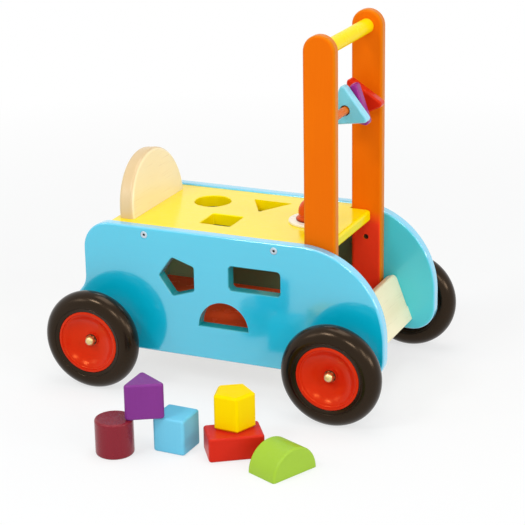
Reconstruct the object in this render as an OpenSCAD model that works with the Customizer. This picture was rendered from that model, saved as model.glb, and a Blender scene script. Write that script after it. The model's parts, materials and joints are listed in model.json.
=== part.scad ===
// Wooden push-along baby walker with a shape-sorting box seat, a push handle
// with three spinning triangles, four rubber-tyred wheels and six sorter blocks.
// Frame: +X towards the handle end, +Y to the rider's left, +Z up, origin on the
// floor midway between the two axles. All sizes in millimetres.

/* [Side panels] */
// Outer width over the two side panels
body_w = 208; // [190:1:230]
// Thickness of each side panel
panel_t = 15; // [12:0.5:18]
// Height of the panels' straight top edge above the floor
panel_top = 210; // [200:1:225]
// Height of the panels' bottom edge above the floor
panel_bottom = 43; // [38:1:48]
// Radius of the large quarter-round at the front of each panel
front_r = 111; // [100:1:115]
// Position of the frontmost point of the panels
panel_front = 218; // [212:1:224]
// Radius of the corner below that quarter-round
front_low_r = 33; // [20:1:40]
// Position of the straight rear edge of the panels
panel_rear = -194; // [-200:1:-188]
// Radius of the top rear corner
rear_top_r = 37; // [20:1:45]
// Radius of the lobe round the rear axle
rear_lobe_r = 43; // [38:1:46]
// Radius of the hollow that joins the rear edge to the lobe
rear_hollow_r = 30; // [20:1:40]
// Radius of the rounded edges all round the panels
panel_ease = 3; // [1:0.5:4]

/* [Sorter openings] */
// Distance from centre to corner of the pentagon opening
pentagon_r = 27; // [24:0.5:28]
// Length of the rectangular opening
slot_l = 70; // [60:1:74]
// Height of the rectangular opening
slot_h = 32; // [26:1:34]
// Radius of the half-round opening
arch_r = 34.5; // [30:0.5:36]
// Radius of the round hole in the top board
round_r = 24.3; // [22:0.1:26]
// Side of the square hole in the top board
square_s = 43; // [40:0.5:46]
// Distance from centre to corner of the triangular hole in the top board
triangle_r = 30; // [27:0.5:31]

/* [Boards] */
// Height of the top board's upper face
seat_top = 208; // [200:1:209]
// Thickness of the top board
seat_t = 15; // [12:1:18]
// Position of the top board's rear edge
seat_rear = -161; // [-170:1:-158]
// Position of the front edge of the tongue between the uprights
seat_front = 135; // [130:1:145]
// Height of the floor board's upper face
floor_top = 74; // [70:1:78]
// Thickness of the floor board
floor_t = 12; // [9:1:12]
// Thickness of the rear and front boards
wall_t = 12; // [9:1:15]
// Radius of the half-round backrest
back_r = 74; // [65:1:82]
// Thickness of the backrest
back_t = 21; // [15:1:24]
// Backward lean of the backrest in degrees
back_lean = 6; // [0:1:12]
// Height of the front board along its slope
front_board_h = 66; // [56:1:68]
// Backward lean of the front board in degrees
front_board_lean = 20.8; // [15:0.1:22]
// Forward lean of the rear board in degrees
rear_board_lean = 12.5; // [8:0.5:13]

/* [Handle] */
// Width of each upright
upright_w = 41.6; // [36:0.2:43]
// Thickness of each upright
upright_t = 15; // [13:0.5:18]
// Position of the uprights' centre line
upright_x = 127.5; // [124:0.5:130]
// Height of the round top of the uprights
handle_top = 470; // [440:1:490]
// Radius of the push bar
bar_r = 9.5; // [9:0.5:12]
// Height of the rod that carries the triangles
rod_z = 358; // [330:1:370]
// Radius of that rod
rod_r = 5.25; // [5:0.25:7]
// Thickness of each triangle
tri_t = 15; // [12:0.5:16]

/* [Wheels] */
// Distance between the axles
wheel_base = 329; // [325:1:335]
// Diameter of the wheels over the tyre
wheel_d = 130; // [124:1:132]
// Distance between the tyres' middle planes
track = 288; // [284:1:292]
// Half of the tyre's width
tyre_half = 16; // [14:0.5:17]
// Radius of the hub's visible rim
rim_r = 41; // [38:0.5:43]
// Radius of the steel axles
axle_r = 4; // [3:0.5:5]

/* [Blocks] */
// Length of every block along its own extrusion
block_l = 45; // [40:1:46]
// Radius of the blocks' rounded edges
block_ease = 3; // [1:0.5:3]

/* [Hidden] */
$fn = 96;
run_gap = 0.06;      // radial clearance of a running fit
seat_gap = 0.05;     // radial clearance of a fixed dowel, screw or axle in its hole
side_gap = 0.3;      // end play between parts that turn against each other
eps = 0.01;
// how much softer a corner disc's rim is than the strips that it meets
tuck = 1.1;

sky = [0.42, 0.78, 0.88];
sun = [1.0, 0.90, 0.25];
tangerine = [0.92, 0.43, 0.06];
scarlet = [0.80, 0.17, 0.11];
birch = [0.95, 0.87, 0.62];
steel = [0.78, 0.78, 0.76];

half_w = body_w / 2;
inner_y = half_w - panel_t;
upright_y = inner_y - upright_t;
wheel_r = wheel_d / 2;
wheel_y = track / 2;
axle_x = wheel_base / 2;
seat_low = seat_top - seat_t;
floor_low = floor_top - floor_t;
handle_z = handle_top - upright_w / 2;
dowel_r = 6;
socket_d = 10;
screw_head_r = 4.8;
screw_r = 2.2;
screw_l = 34;
bolt_head_r = 3.4;
// where the box screws cross the panels: [x, z]
PANEL_SCREWS = [[-106, 200], [73, 200], [-138, 68], [138, 68], [-171.5, 104], [167.5, 94]];
// heights of the bolts that hold each upright to its panel
UPRIGHT_BOLTS = [96, 170];
BACKREST_BOLTS = [-32, 32];
pentagon_at = [-59.5, 148.6];
slot_at = [46, 156.5];
arch_at = [2.6, 87.5];
round_at = [-73.6, 34.3];
square_at = [-29, -35];
triangle_at = [2, 45];
knob_at = [82, 0];
slot_corner = 5;
pentagon_corner = 4;
square_corner = 3;
triangle_corner = 2;
pin_r = 3;
pin_head_r = 5.5;
mouth = 1;           // chamfer round every sorter opening
knob_plate_r = 30;
knob_plate_t = 3.5;
// hubs, from the wheel's middle plane: outer face, shoulder that the tyre sits
// against on the panel's side, and radius inside that shoulder
hub_lip = 14.5;
rim_step = 8;
rim_inner_r = 32;
// the leaning boards' outer faces stand at this distance at their feet
board_foot = 187;
front_foot_z = 58;
// the front board's outer face at its foot lies a hair further out
front_foot = board_foot + 0.4;
// clearance of the loose triangles round their rod
tri_gap = 1.4;
block_corner = 4;

// ---------- helpers ----------

// A rectangle centred on the origin, with round corners.
module round_rect(l, w, r) {
    square([l - 2 * r, w], center = true);
    square([l, w - 2 * r], center = true);
    for (sx = [-1, 1], sy = [-1, 1])
        translate([sx * (l / 2 - r), sy * (w / 2 - r)]) circle(r);
}

// A regular polygon with n round corners; corner is the distance to a sharp corner.
// The corner circles stand proud by eps, so that they cross the flats cleanly.
module round_ngon(n, corner, r) {
    inner = corner - r / cos(180 / n);
    half_side = inner * sin(180 / n);
    rotate(180) circle(inner, $fn = n);
    for (k = [0 : n - 1])
        rotate(k * 360 / n + 180) {
            translate([inner, 0]) rotate(180) circle(r + eps);
            rotate(180 / n)
                translate([inner * cos(180 / n) - r / 4, -half_side])
                    square([r + r / 4, 2 * half_side]);
        }
}

// The half-section of a disc of radius r and thickness t with a rounded rim.
module rim_profile(r, t, ease) {
    square([r - ease, t]);
    translate([0, ease]) square([r, t - 2 * ease]);
    intersection() {
        for (z = [ease, t - ease])
            translate([r - ease, z]) circle(ease);
        square([r, t]);
    }
}

// A sector of an eased disc, from angle a0 to a1.
module eased_sector(r, t, ease, a0, a1) {
    rotate(a0) rotate_extrude(angle = a1 - a0) rim_profile(r, t, ease);
}

// A strip from p to q with its eased outer edge on the right-hand side.
module eased_strip(p, q, depth, t, ease) {
    run = norm(q - p);
    translate([p[0], p[1], 0])
        rotate(atan2(q[1] - p[1], q[0] - p[0]))
            translate([run, depth, 0])
                rotate([90, 0, -90]) linear_extrude(run) rim_profile(depth, t, ease);
}

// A plate that reaches r beyond a convex polygon, given anticlockwise, with eased rims.
module eased_plate(centres, r, t, ease) {
    n = len(centres);
    linear_extrude(t) polygon(centres);
    for (k = [0 : n - 1]) {
        p = centres[k];
        q = centres[(k + 1) % n];
        before = centres[(k + n - 1) % n];
        heading = atan2(q[1] - p[1], q[0] - p[0]);
        came = atan2(p[1] - before[1], p[0] - before[0]);
        turn = (heading - came + 720) % 360;
        out = r * [cos(heading - 90), sin(heading - 90)];
        eased_strip(p + out, q + out, r, t, ease);
        translate([p[0], p[1], 0])
            eased_sector(r, t, ease, heading - 90 - turn, heading - 90);
    }
}

// A regular prism with n round corners and eased rims, corner as in round_ngon.
// The corner discs are tucked in by a hair, so that no two surfaces lie on each other.
module eased_ngon(n, corner, r, t, ease) {
    lap = 0.5;
    inner = corner - r / cos(180 / n);
    face = inner * cos(180 / n) + r;
    half_side = inner * sin(180 / n);
    linear_extrude(t) rotate(180) circle(inner - lap / 2 / cos(180 / n), $fn = n);
    for (k = [0 : n - 1])
        rotate(k * 360 / n + 180) {
            translate([inner, 0, 0])
                rotate_extrude() rim_profile(r - 2 * eps, t, tuck * ease);
            rotate(180 / n)
                eased_strip([face, -half_side], [face, half_side], r + lap, t, ease);
        }
}

// Corner centres of a rectangle.
function rect_centres(l, w, r) =
    [for (c = [[-1, -1], [1, -1], [1, 1], [-1, 1]])
        [c[0] * (l / 2 - r), c[1] * (w / 2 - r)]];

// Cutter that chamfers the mouth of a rectangular hole with round corners, opening to +Z.
module rect_mouth(l, w, r, c) {
    h = c + 0.5;
    for (sx = [-1, 1], sy = [-1, 1])
        translate([sx * (l / 2 - r), sy * (w / 2 - r), 0])
            cylinder(r1 = r, r2 = r + h, h = h);
    translate([l / 2 - r, 0, 0]) rotate([90, 0, -90])
        linear_extrude(l - 2 * r)
            polygon([[-w / 2, 0], [w / 2, 0], [w / 2 + h, h], [-w / 2 - h, h]]);
    translate([0, w / 2 - r, 0]) rotate([90, 0, 0])
        linear_extrude(w - 2 * r)
            polygon([[-l / 2, 0], [l / 2, 0], [l / 2 + h, h], [-l / 2 - h, h]]);
}

// The same for a regular hole with n round corners, corner as in round_ngon.
module ngon_mouth(n, corner, r, c) {
    h = c + 0.5;
    inner = corner - r / cos(180 / n);
    face = inner * cos(180 / n);
    half_side = inner * sin(180 / n);
    for (k = [0 : n - 1])
        rotate(k * 360 / n + 180) {
            translate([inner, 0, 0]) cylinder(r1 = r + eps, r2 = r + eps + h, h = h);
            rotate(180 / n)
                translate([face, half_side, 0]) rotate([90, 0, 0])
                    linear_extrude(2 * half_side)
                        polygon([[-1, 0], [r, 0], [r + h, h], [-1, h]]);
        }
}

// The same for a half-round hole whose straight side lies on the X axis.
module arch_mouth(r, c) {
    h = c + 0.5;
    intersection() {
        cylinder(r1 = r, r2 = r + h, h = h);
        translate([r + h + 1, 0, 0]) rotate([90, 0, -90])
            linear_extrude(2 * (r + h + 1))
                polygon([[0, 0], [0, h], [h, h]]);
        translate([-r - h - 1, -h, 0]) cube([2 * (r + h + 1), r + 2 * h + 1, h]);
    }
}

module along_y(y) {
    translate([0, y, 0]) rotate([90, 0, 0]) children();
}

// ---------- side panels ----------

// The panel lying on its inner face, drawn in x and z; every outer edge is eased.
module side_blank() {
    rim = 12;
    lobe = [panel_rear + rear_lobe_r - 19, panel_bottom + rear_lobe_r];
    hollow_dx = lobe[0] - (panel_rear - rear_hollow_r);
    reach = rear_lobe_r + rear_hollow_r;
    hollow = [panel_rear - rear_hollow_r,
        lobe[1] + round(100 * sqrt(reach * reach - hollow_dx * hollow_dx)) / 100];
    in_lobe = lobe + 0.7 * (hollow - lobe) * rear_lobe_r / reach;
    meet = atan2(lobe[1] - hollow[1], lobe[0] - hollow[0]);
    low = [panel_front - front_low_r, panel_bottom + front_low_r];
    arc = [panel_front - front_r, panel_top - front_r];
    top = [panel_rear + rear_top_r, panel_top - rear_top_r];
    // straight edges, going round anticlockwise
    eased_strip([lobe[0], panel_bottom], [low[0], panel_bottom], rim, panel_t, panel_ease);
    eased_strip([panel_front, low[1]], [panel_front, arc[1]], rim, panel_t, panel_ease);
    eased_strip([arc[0], panel_top], [top[0], panel_top], rim, panel_t, panel_ease);
    eased_strip([panel_rear, top[1]], [panel_rear, hollow[1]], rim, panel_t, panel_ease);
    // round corners, the large quarter-round and the lobe round the rear axle
    translate(low) eased_sector(front_low_r, panel_t, panel_ease, -90, 0);
    translate(arc) eased_sector(front_r, panel_t, panel_ease, 0, 90, $fn = 180);
    translate(top) eased_sector(rear_top_r, panel_t, panel_ease, 90, 180);
    translate(lobe)
        rotate_extrude() rim_profile(rear_lobe_r - 2 * eps, panel_t, tuck * panel_ease);
    // hollow between the rear edge and the lobe
    translate(hollow) mirror([0, 1, 0])
        rotate_extrude(angle = -meet)
            translate([rear_hollow_r + rim, 0]) mirror([1, 0])
                rim_profile(rim, panel_t, panel_ease);
    linear_extrude(panel_t) {
        translate([lobe[0], panel_bottom + rim])
            square([low[0] - lobe[0], arc[1] - panel_bottom - rim]);
        translate([low[0] - 1, low[1]])
            square([panel_front - rim - low[0] + 1, arc[1] - low[1]]);
        translate([panel_rear + rim, hollow[1]])
            square([arc[0] - panel_rear - rim, top[1] - hollow[1]]);
        translate([lobe[0], arc[1]]) square([arc[0] - lobe[0], hollow[1] - arc[1]]);
        translate(top) square([arc[0] - top[0], rear_top_r - rim]);
        polygon([[panel_rear + rim / 3, hollow[1]], in_lobe, lobe, [lobe[0], hollow[1]]]);
    }
}

module side_cutouts() {
    translate(pentagon_at) round_ngon(5, pentagon_r, pentagon_corner);
    translate(slot_at) round_rect(slot_l, slot_h, slot_corner);
    translate(arch_at)
        intersection() {
            circle(arch_r);
            translate([-arch_r, 0]) square([2 * arch_r, arch_r]);
        }
}

// Chamfers round the openings, cut into the outer face.
module side_mouths() {
    translate([pentagon_at[0], pentagon_at[1], 0])
        ngon_mouth(5, pentagon_r, pentagon_corner, mouth);
    translate([slot_at[0], slot_at[1], 0]) rect_mouth(slot_l, slot_h, slot_corner, mouth);
    translate([arch_at[0], arch_at[1], 0]) arch_mouth(arch_r, mouth);
}

// A panel on the near side, drilled for the axles and the fixings.
module side_panel() {
    color(sky)
        difference() {
            translate([0, -inner_y, 0]) rotate([90, 0, 0]) side_blank();
            for (sx = [-1, 1])
                translate([sx * axle_x, 0, wheel_r])
                    along_y(-inner_y + 1) cylinder(r = axle_r + seat_gap, h = panel_t + 2);
            for (p = PANEL_SCREWS)
                translate([p[0], 0, p[1]]) {
                    along_y(-inner_y + 1) cylinder(r = screw_r + seat_gap, h = panel_t + 2);
                    along_y(-half_w + 2) cylinder(r = screw_head_r + seat_gap, h = 3);
                }
            for (z = UPRIGHT_BOLTS)
                translate([upright_x, 0, z])
                    along_y(-inner_y + 1) cylinder(r = screw_r + seat_gap, h = 12);
        }
}

// Only the near panel has openings for blocks.
module side_panel_near() {
    color(sky)
        difference() {
            side_panel();
            translate([0, -inner_y, 0]) rotate([90, 0, 0]) {
                translate([0, 0, -1]) linear_extrude(panel_t + 2) side_cutouts();
                translate([0, 0, panel_t - mouth]) side_mouths();
            }
        }
}

module side_panel_far() { mirror([0, 1, 0]) side_panel(); }

// ---------- box boards ----------

module top_board() {
    x0 = upright_x - upright_w / 2;
    corner = 6;
    tongue_l = seat_front - x0 + 40;
    color(sun)
        difference() {
            union() {
                translate([seat_rear, -inner_y, seat_low])
                    cube([x0 - seat_rear, 2 * inner_y, seat_t]);
                translate([seat_front - tongue_l / 2, 0, seat_low])
                    eased_plate(rect_centres(tongue_l, 2 * upright_y, corner), corner, seat_t, 4);
            }
            translate([0, 0, seat_low - 1]) linear_extrude(seat_t + 2) {
                translate(round_at) circle(round_r);
                translate(square_at) round_rect(square_s, square_s, square_corner);
                translate(triangle_at) rotate(90)
                    round_ngon(3, triangle_r + triangle_corner, triangle_corner);
            }
            translate([round_at[0], round_at[1], seat_top - mouth])
                cylinder(r1 = round_r, r2 = round_r + mouth + 0.5, h = mouth + 0.5);
            translate([square_at[0], square_at[1], seat_top - mouth])
                rect_mouth(square_s, square_s, square_corner, mouth);
            // pilot holes of the panel screws, and the knob's and backrest's fixings
            for (s = [0, 1], k = [0, 1])
                mirror([0, s, 0])
                    translate([PANEL_SCREWS[k][0], 0, PANEL_SCREWS[k][1]])
                        along_y(-inner_y + screw_l)
                            cylinder(r = screw_r + seat_gap, h = screw_l + 1);
            translate([knob_at[0], knob_at[1], seat_low - 1])
                cylinder(r = pin_r + seat_gap, h = seat_t + 2);
            translate([knob_at[0], knob_at[1], seat_low - 1])
                cylinder(r = pin_head_r + seat_gap, h = 4);
            for (y = BACKREST_BOLTS) {
                translate([backrest_mid_x(), y, seat_low - 1])
                    cylinder(r = screw_r + seat_gap, h = seat_t + 2);
                translate([backrest_mid_x(), y, seat_low - 1])
                    cylinder(r = screw_head_r + seat_gap, h = 3);
            }
        }
}

// Reaches from the rear board to the front board, over the axles that lie in its grooves.
module floor_board() {
    rear_end = -171;
    front_end = 168;
    groove = 2 * axle_r + 2;
    color(scarlet)
        difference() {
            translate([rear_end, -inner_y, floor_low])
                cube([front_end - rear_end, 2 * inner_y, floor_t]);
            for (sx = [-1, 1])
                translate([sx * axle_x - groove / 2, -inner_y - 1, floor_low - 1])
                    cube([groove, 2 * inner_y + 2, wheel_r + axle_r + 1 - floor_low + 1]);
            for (s = [0, 1], k = [2, 3])
                mirror([0, s, 0])
                    translate([PANEL_SCREWS[k][0], 0, PANEL_SCREWS[k][1]])
                        along_y(-inner_y + screw_l)
                            cylinder(r = screw_r + seat_gap, h = screw_l + 1);
        }
}

// Wall that closes the box at the back; it leans forward under the top board.
module rear_board() {
    color(birch)
        difference() {
            intersection() {
                translate([-board_foot, -inner_y, floor_low])
                    rotate([0, rear_board_lean, 0])
                        translate([0, 0, -10])
                            cube([wall_t, 2 * inner_y, seat_low - floor_low + 30]);
                translate([-board_foot - 10, -inner_y, floor_low])
                    cube([80, 2 * inner_y, seat_low - floor_low]);
            }
            for (s = [0, 1])
                mirror([0, s, 0])
                    translate([PANEL_SCREWS[4][0], 0, PANEL_SCREWS[4][1]])
                        along_y(-inner_y + screw_l)
                            cylinder(r = screw_r + seat_gap, h = screw_l + 1);
        }
}

// Leaning board across the lower half of the open front.
module front_board() {
    color(birch)
        difference() {
            translate([front_foot, 0, front_foot_z])
                rotate([0, -front_board_lean, 0])
                    translate([-wall_t, 0, front_board_h])
                        rotate([0, 90, 0]) front_board_blank();
            for (s = [0, 1])
                mirror([0, s, 0])
                    translate([PANEL_SCREWS[5][0], 0, PANEL_SCREWS[5][1]])
                        along_y(-inner_y + screw_l)
                            cylinder(r = screw_r + seat_gap, h = screw_l + 1);
        }
}

// Drawn with x pointing down the board; its upper edge and corners are eased.
module front_board_blank() {
    corner = 9;
    cut = front_board_h - 2 * corner;
    translate([front_board_h / 2, 0, 0])
        intersection() {
            eased_plate(rect_centres(front_board_h, 2 * inner_y, corner), corner, wall_t, 3);
            translate([-front_board_h / 2 - 1, -inner_y - 1, -1])
                cube([front_board_h - corner + 1, 2 * inner_y + 2, wall_t + 2]);
        }
    translate([cut, -inner_y, 0]) cube([front_board_h - cut, 2 * inner_y, wall_t]);
}

function backrest_mid_x() = -156.2 + back_t / 2;

module backrest() {
    color(birch)
        difference() {
            translate([backrest_mid_x(), 0, seat_top])
                rotate([0, -back_lean, 0])
                    translate([-back_t / 2, 0, 0])
                        rotate([0, 90, 0])
                            rotate([0, 0, 90])
                                union() {
                                    rotate_extrude(angle = 180) rim_profile(back_r, back_t, 5);
                                    backrest_foot();
                                }
            translate([backrest_mid_x() - 40, -100, seat_top - 20]) cube([80, 200, 20]);
            for (y = BACKREST_BOLTS)
                translate([backrest_mid_x(), y, seat_top - 1])
                    cylinder(r = screw_r + seat_gap, h = 22);
        }
}

// Straight skirt below the half-round, later trimmed flush with the top board.
module backrest_foot() {
    rotate([90, 0, 0])
        linear_extrude(6)
            union() {
                translate([-back_r + 5, 0]) square([2 * back_r - 10, back_t]);
                translate([-back_r, 5]) square([2 * back_r, back_t - 10]);
                for (s = [-1, 1], z = [5, back_t - 5])
                    translate([s * (back_r - 5), z]) circle(5);
            }
}

// ---------- handle ----------

// The near upright: a straight post with eased corners and a full-round top.
module upright() {
    ease = 4;
    r = upright_w / 2;
    color(tangerine)
        difference() {
            union() {
                translate([upright_x, -inner_y + upright_t / 2, floor_top])
                    linear_extrude(handle_z - floor_top)
                        round_rect(upright_w, upright_t, ease);
                translate([upright_x, -inner_y + upright_t, handle_z])
                    rotate([90, 0, 0])
                        rotate_extrude(angle = 180) rim_profile(r, upright_t, ease);
            }
            translate([upright_x, 0, handle_z])
                along_y(-upright_y + 1) cylinder(r = dowel_r + seat_gap, h = socket_d + 1);
            translate([upright_x, 0, rod_z])
                along_y(-upright_y + 1) cylinder(r = rod_r + seat_gap, h = socket_d + 1);
            for (z = UPRIGHT_BOLTS)
                translate([upright_x, 0, z]) {
                    along_y(-upright_y + 1) cylinder(r = screw_r + seat_gap, h = upright_t + 2);
                    along_y(-upright_y + 1) cylinder(r = bolt_head_r + seat_gap, h = 4);
                }
        }
}

module upright_near() { upright(); }
module upright_far() { mirror([0, 1, 0]) upright(); }

module push_bar() {
    color(sun)
        translate([upright_x, 0, handle_z]) {
            along_y(upright_y) cylinder(r = bar_r, h = 2 * upright_y);
            along_y(upright_y + socket_d - 0.5)
                cylinder(r = dowel_r, h = 2 * (upright_y + socket_d) - 1);
        }
}

module spinner_rod() {
    color(tangerine)
        translate([upright_x, 0, rod_z])
            along_y(upright_y + socket_d - 0.5)
                cylinder(r = rod_r, h = 2 * (upright_y + socket_d) - 1);
}

// A loose triangle on the rod, its near face at y and its first corner at angle turn.
module spinner(y, turn) {
    translate([upright_x, y + tri_t, rod_z])
        rotate([90, 0, 0])
            difference() {
                rotate(turn + 180) eased_ngon(3, 35.2, 4.5, tri_t, 3);
                translate([0, 0, -1]) cylinder(r = rod_r + tri_gap, h = tri_t + 2);
            }
}

module spinner_blue() { color([0.45, 0.78, 0.88]) spinner(-2, 98); }
module spinner_purple() { color([0.55, 0.22, 0.56]) spinner(14.5, 79); }
module spinner_red() { color([0.80, 0.15, 0.08]) spinner(45, -3); }

// ---------- knob on the top board ----------

module knob_plate() {
    color([0.97, 0.95, 0.88])
        translate([knob_at[0], knob_at[1], seat_top])
            rotate_extrude()
                difference() {
                    rim_profile(knob_plate_r, knob_plate_t, 1);
                    translate([0, -1]) square([pin_r + seat_gap, knob_plate_t + 2]);
                }
}

module knob() {
    ball = 17.5;
    foot = 20.5;
    color(scarlet)
        translate([knob_at[0], knob_at[1], seat_top + knob_plate_t + side_gap])
            difference() {
                rotate_extrude()
                    intersection() {
                        union() {
                            translate([0, 10]) circle(ball);
                            polygon([[0, 0], [foot, 0], [foot, 1.6], [ball - 1.5, 5.5], [0, 5.5]]);
                        }
                        square([foot + 1, 40]);
                    }
                translate([0, 0, -1]) cylinder(r = pin_r + run_gap, h = 15);
            }
}

module knob_pin() {
    pin_top = seat_top + knob_plate_t + side_gap + 13;
    color(steel)
        translate([knob_at[0], knob_at[1], 0]) {
            translate([0, 0, seat_low + 3]) cylinder(r = pin_r, h = pin_top - seat_low - 3);
            translate([0, 0, seat_low]) cylinder(r = pin_head_r, h = 3);
        }
}

// ---------- running gear ----------

module axle(x) {
    color(steel)
        translate([x, 0, wheel_r])
            along_y(cap_y() - 1) cylinder(r = axle_r, h = 2 * cap_y() - 2);
}

// Outer end of the caps on the axles, level with the hubs' rims.
function cap_y() = wheel_y + 13;
// Outer face of the hubs' bosses.
function boss_out() = wheel_y + 3.5;

module axle_rear() { axle(-axle_x); }
module axle_front() { axle(axle_x); }

module washer(r, t) {
    difference() {
        cylinder(r = r, h = t);
        translate([0, 0, -1]) cylinder(r = axle_r + seat_gap, h = t + 2);
    }
}

// Four plain washers on each axle: one each side of both hubs.
module axle_washers() {
    color(steel)
        for (sx = [-1, 1], s = [0, 1])
            mirror([0, s, 0])
                translate([sx * axle_x, 0, wheel_r]) {
                    along_y(-half_w) washer(10, 1.5);
                    along_y(-boss_out() - side_gap) washer(7.5, 1.2);
                }
}

// Push-on caps with a domed end.
module axle_caps() {
    inner = boss_out() + side_gap + 1.2;
    l = cap_y() - inner;
    color(steel)
        for (sx = [-1, 1], s = [0, 1])
            mirror([0, s, 0])
                translate([sx * axle_x, 0, wheel_r])
                    along_y(-inner)
                        difference() {
                            rotate_extrude()
                                union() {
                                    square([5.6, l - 2.5]);
                                    square([3.1, l]);
                                    translate([3.1, l - 2.5])
                                        intersection() {
                                            circle(2.5);
                                            square(3);
                                        }
                                }
                            translate([0, 0, -1])
                                cylinder(r = axle_r + seat_gap, h = l);
                        }
}

// Places a wheel part drawn with its outer face towards +Z.
module on_axle(x, side) {
    translate([x, side * wheel_y, wheel_r])
        rotate([side * -90, 0, 0]) children();
}

// Dished hub: rim with an outer lip, bowed web and a long boss towards the panel.
module hub() {
    boss_in = -(wheel_y - half_w - 1.5 - side_gap);
    // the bowl is a shallow arc inside a quarter-round wall
    dish_r = 90;
    dish_deep = 7.2;
    wall_r = 3.2;
    bowl_r = rim_r - 6.5;
    color(scarlet)
        rotate_extrude()
            difference() {
                union() {
                    translate([0, -rim_step]) square([rim_r - 2, rim_step + hub_lip - 1]);
                    translate([0, -hub_lip]) square([rim_inner_r, 2 * hub_lip - 1]);
                    translate([0, boss_in]) square([13, -boss_in]);
                    translate([30, hub_lip - 2.5])
                        union() {
                            square([rim_r - 30 - 1.25, 2.5]);
                            translate([rim_r - 30 - 1.25, 1.25]) circle(1.25);
                        }
                }
                intersection() {
                    translate([8, hub_lip - dish_deep + dish_r]) circle(dish_r, $fn = 180);
                    translate([0, -1]) square([bowl_r, 40]);
                }
                translate([bowl_r, hub_lip]) circle(wall_r);
                // sunk centre round the axle cap
                translate([0, 3.5]) square([9, 20]);
                // hollow behind the web
                translate([18, -hub_lip - 1]) square([rim_inner_r - 3 - 18, hub_lip + 1]);
                translate([0, boss_in - 1]) square([axle_r + run_gap, 80]);
            }
}

module tyre() {
    color([0.12, 0.10, 0.09])
        rotate_extrude()
            difference() {
                translate([wheel_r - tyre_half, 0]) circle(tyre_half);
                translate([0, -rim_step]) square([rim_r - 2, 40]);
                // seat of the hub's lip
                translate([0, hub_lip - 2.5]) square([rim_r + 0.3, 16]);
                // thin groove moulded in each side wall
                for (z = [-1, 1])
                    translate([wheel_r - tyre_half - 3, z * (tyre_half - 0.2)]) circle(0.7);
            }
}

module hub_rear_near() { on_axle(-axle_x, -1) hub(); }
module hub_rear_far() { on_axle(-axle_x, 1) hub(); }
module hub_front_near() { on_axle(axle_x, -1) hub(); }
module hub_front_far() { on_axle(axle_x, 1) hub(); }
module tyre_rear_near() { on_axle(-axle_x, -1) tyre(); }
module tyre_rear_far() { on_axle(-axle_x, 1) tyre(); }
module tyre_front_near() { on_axle(axle_x, -1) tyre(); }
module tyre_front_far() { on_axle(axle_x, 1) tyre(); }

// ---------- fixings ----------

// Screw with a flat round head and a hexagon socket, drawn along +Z from the head's top.
module screw(head_r, head_t, l) {
    difference() {
        union() {
            cylinder(r = head_r, h = head_t);
            cylinder(r = screw_r, h = l);
        }
        translate([0, 0, -1]) cylinder(r = 1.7, h = 2.2, $fn = 6);
    }
}

module panel_screws() {
    color(steel)
        for (s = [0, 1], p = PANEL_SCREWS)
            mirror([0, s, 0])
                translate([p[0], -half_w, p[1]])
                    rotate([-90, 0, 0]) screw(screw_head_r, 2, panel_t + screw_l - 1);
}

module upright_screws() {
    color([0.25, 0.18, 0.14])
        for (s = [0, 1], z = UPRIGHT_BOLTS)
            mirror([0, s, 0])
                translate([upright_x, -upright_y - 0.8, z])
                    rotate([90, 0, 0]) screw(bolt_head_r, 2.2, upright_t + 9);
}

module backrest_screws() {
    color(steel)
        for (y = BACKREST_BOLTS)
            translate([backrest_mid_x(), y, seat_low]) screw(screw_head_r, 2, seat_t + 20);
}

// ---------- sorter blocks ----------

module block_cylinder() {
    color([0.52, 0.17, 0.22])
        translate([-44.6, -314, 0])
            rotate_extrude() rim_profile(23.3, block_l, block_ease);
}

module block_cube() {
    color([0.40, 0.76, 0.85])
        translate([17.2, -273.4, 0]) rotate(-2)
            eased_plate(rect_centres(42, 42, block_corner), block_corner, block_l, block_ease);
}

module block_triangle() {
    color([0.50, 0.22, 0.53])
        translate([-14.2, -294, block_l])
            rotate(120 + 180) eased_ngon(3, 30.4, block_corner, block_l, block_ease);
}

module block_brick() {
    color([0.80, 0.17, 0.12])
        translate([88, -263.5, 0]) rotate(34)
            eased_plate(rect_centres(67, block_l, block_corner), block_corner, brick_h(), block_ease);
}
function brick_h() = 30;

module block_pentagon() {
    corner = 26.5;
    // distance from the axis to the flats where the chamfered rims begin
    face = corner * cos(36) - block_ease;
    color([1.0, 0.88, 0.05])
        translate([83.3, -251.5, brick_h()]) rotate(-57.6)
            intersection() {
                linear_extrude(block_l) rotate(180) round_ngon(5, corner, block_corner);
                cylinder(r1 = face / cos(36), r2 = (face + block_l) / cos(36),
                    h = block_l, $fn = 5);
                cylinder(r1 = (face + block_l) / cos(36), r2 = face / cos(36),
                    h = block_l, $fn = 5);
            }
}

// Half-round block lying on its flat side.
module block_arch() {
    color([0.64, 0.78, 0.28])
        translate([158.2, -282.8, 0]) rotate(-24.4 + 90)
            translate([0, block_l / 2, 0])
                rotate([90, 0, 0])
                    intersection() {
                        rotate_extrude() rim_profile(34, block_l, block_ease);
                        translate([-40, 0, -1]) cube([80, 40, block_l + 2]);
                    }
}

side_panel_near();
side_panel_far();
top_board();
floor_board();
rear_board();
front_board();
backrest();
upright_near();
upright_far();
push_bar();
spinner_rod();
spinner_blue();
spinner_purple();
spinner_red();
knob_plate();
knob();
knob_pin();
axle_rear();
axle_front();
axle_washers();
axle_caps();
hub_rear_near();
hub_rear_far();
hub_front_near();
hub_front_far();
tyre_rear_near();
tyre_rear_far();
tyre_front_near();
tyre_front_far();
panel_screws();
upright_screws();
backrest_screws();
block_cylinder();
block_cube();
block_triangle();
block_brick();
block_pentagon();
block_arch();
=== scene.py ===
"""Looks of a wooden baby walker with a shape sorter: finishes, fixings, light and camera.

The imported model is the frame. Lengths are metres, +Z is up, and the walker's long side runs
along X with its near side towards -Y.
"""

import json
import logging
import math
from dataclasses import KW_ONLY, dataclass
from enum import Enum

import bmesh
import bpy
from mathutils import Matrix, Vector

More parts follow.
